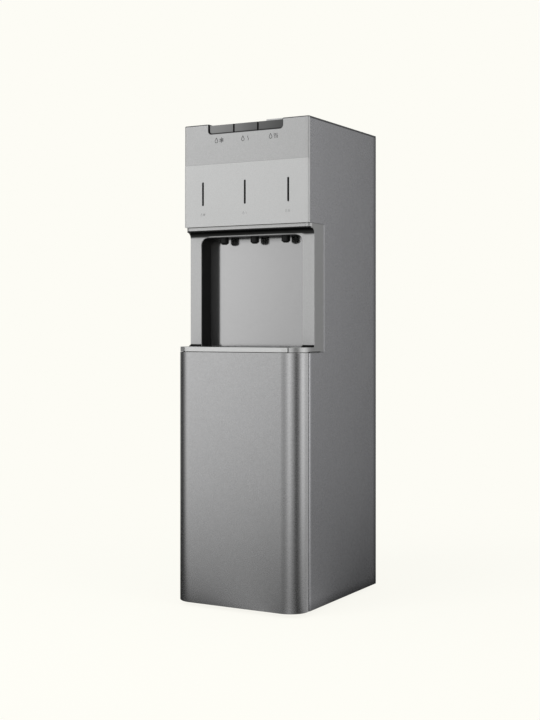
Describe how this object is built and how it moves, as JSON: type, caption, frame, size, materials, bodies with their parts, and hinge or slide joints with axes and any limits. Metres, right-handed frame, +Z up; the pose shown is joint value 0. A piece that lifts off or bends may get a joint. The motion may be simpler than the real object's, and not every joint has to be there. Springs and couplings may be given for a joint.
{
  "type": "bottom load water cooler",
  "caption": "Free-standing water cooler with a hinged bottle bay door, dispensing recess with spouts, press keys and a slide-out drip tray.",
  "frame": {"origin": "on the floor under the centre of the whole object's box", "axes": "+Z up, the door and spouts face -Y, +X is the viewer's right"},
  "size_m": [0.31, 0.384, 1.0458],
  "materials": {
    "silver_panel": "fine satin silver-grey powder coat",
    "silver_door": "fine satin silver-grey coat on the curved door",
    "silver_plastic": "satin silver lacquered moulding",
    "silver_plate": "light satin silver plate",
    "brushed_lining": "satin steel lining with soft reflections",
    "black_plastic": "black moulding",
    "smoked_plastic": "smoked gloss lens",
    "grey_key": "mid grey satin key",
    "dark_key": "dark grey satin key",
    "lock_plastic": "pale grey slider",
    "charcoal_plastic": "charcoal fine-grained lid",
    "grey_plastic": "grey moulded liner",
    "white_plastic": "white moulding",
    "blue_plastic": "blue moulded cap",
    "foam_white": "rigid expanded foam",
    "green_board": "circuit board",
    "grey_steel": "galvanised grey sheet",
    "dark_steel": "dark coated sheet",
    "tank_steel": "stainless tank",
    "zinc_steel": "zinc plated steel",
    "copper_tube": "bare copper tube",
    "black_paint": "black gloss paint",
    "black_rubber": "black rubber",
    "red_rocker": "red rocker",
    "green_rocker": "green rocker",
    "dark_rocker": "black rocker"
  },
  "bodies": {
    "cabinet": {"side_panel_left": "silver_panel", "side_panel_right": "silver_panel", "base_pan": "dark_steel", "rubber_feet": "black_rubber", "back_panel_lower": "grey_steel", "back_panel_upper": "grey_steel", "screws_and_bolts": "zinc_steel", "top_cover": "charcoal_plastic", "mid_deck": "grey_steel", "bay_liner": "grey_plastic", "bottle_platform": "grey_plastic", "door_hinge_pins": "zinc_steel", "light_bar": "smoked_plastic", "dispenser_frame": "silver_plastic", "shelf_seals": "black_plastic", "recess_liner": "black_plastic", "recess_back_panel": "brushed_lining", "spout_cold": "black_plastic", "spout_room": "black_plastic", "spout_hot": "black_plastic", "solenoid_valves": "white_plastic", "control_fascia": "silver_plastic", "indicator_plate": "silver_plate", "indicator_windows": "smoked_plastic", "control_board": "green_board", "key_carrier": "black_plastic", "key_pivot_rod": "zinc_steel", "key_switches": "black_plastic", "tank_shelf": "grey_steel", "hot_tank_jacket": "foam_white", "hot_tank": "tank_steel", "heater_element": "zinc_steel", "cold_tank_foam": "foam_white", "cold_tank": "tank_steel", "evaporator_coil": "copper_tube", "cold_tank_lid": "white_plastic", "compressor": "black_paint", "compressor_grommets": "black_rubber", "water_pump": "white_plastic", "condenser_tube": "black_paint", "condenser_wires": "black_paint", "rocker_housings": "black_plastic", "power_inlet": "black_plastic", "drain_outlet": "white_plastic"},
    "door": {"door_shell": "silver_door", "door_liner": "grey_plastic", "door_magnet": "black_rubber"},
    "key_cold": {"key_cold": "grey_key"},
    "key_room": {"key_room": "grey_key"},
    "key_hot": {"key_hot": "dark_key"},
    "child_lock": {"child_lock": "lock_plastic"},
    "drip_tray": {"drip_tray": "silver_plastic"},
    "drip_grille": {"drip_grille": "black_plastic"},
    "rocker_hot": {"rocker_hot": "red_rocker"},
    "rocker_cold": {"rocker_cold": "green_rocker"},
    "rocker_light": {"rocker_light": "dark_rocker"},
    "drain_cap": {"drain_cap": "blue_plastic"},
    "probe": {"probe_tube": "white_plastic", "probe_cap": "blue_plastic"},
    "level_float": {"level_float": "white_plastic"}
  },
  "joints": [
    {"name": "door_hinge", "type": "hinge", "parent": "cabinet", "child": "door", "pos_m": [-0.147, -0.16, 0.28], "axis": [0, 0, -1], "range_deg": [0, 110]},
    {"name": "key_cold_press", "type": "hinge", "parent": "cabinet", "child": "key_cold", "pos_m": [0, -0.093, 1.03], "axis": [1, 0, 0], "range_deg": [0, 2.5], "stiffness_Nm_per_rad": 0.6, "springref_deg": -4.58},
    {"name": "key_room_press", "type": "hinge", "parent": "cabinet", "child": "key_room", "pos_m": [0, -0.093, 1.03], "axis": [1, 0, 0], "range_deg": [0, 2.5], "stiffness_Nm_per_rad": 0.6, "springref_deg": -4.58},
    {"name": "key_hot_press", "type": "hinge", "parent": "cabinet", "child": "key_hot", "pos_m": [0, -0.093, 1.03], "axis": [1, 0, 0], "range_deg": [0, 2.5], "stiffness_Nm_per_rad": 0.6, "springref_deg": -4.58},
    {"name": "child_lock_slide", "type": "slide", "parent": "key_hot", "child": "child_lock", "axis": [-1, 0, 0], "range_m": [0, 0.014]},
    {"name": "drip_tray_slide", "type": "slide", "parent": "cabinet", "child": "drip_tray", "axis": [0, -1, 0], "range_m": [0, 0.12]},
    {"name": "drip_grille_lift", "type": "slide", "parent": "drip_tray", "child": "drip_grille", "axis": [0, 0, 1], "range_m": [0, 0.06]},
    {"name": "rocker_hot_flip", "type": "hinge", "parent": "cabinet", "child": "rocker_hot", "pos_m": [-0.095, 0.169, 0.5916], "axis": [0, 0, -1], "range_deg": [0, 18]},
    {"name": "rocker_cold_flip", "type": "hinge", "parent": "cabinet", "child": "rocker_cold", "pos_m": [-0.063, 0.169, 0.5916], "axis": [0, 0, -1], "range_deg": [0, 18]},
    {"name": "rocker_light_flip", "type": "hinge", "parent": "cabinet", "child": "rocker_light", "pos_m": [-0.031, 0.169, 0.5916], "axis": [0, 0, -1], "range_deg": [0, 18]},
    {"name": "drain_cap_pull", "type": "slide", "parent": "cabinet", "child": "drain_cap", "axis": [0, 1, 0], "range_m": [0, 0.03]},
    {"name": "probe_unhook", "type": "slide", "parent": "cabinet", "child": "probe", "axis": [0, -1, 0], "range_m": [0, 0.06]},
    {"name": "float_rise", "type": "slide", "parent": "cabinet", "child": "level_float", "axis": [0, 0, 1], "range_m": [0, 0.06]}
  ]
}
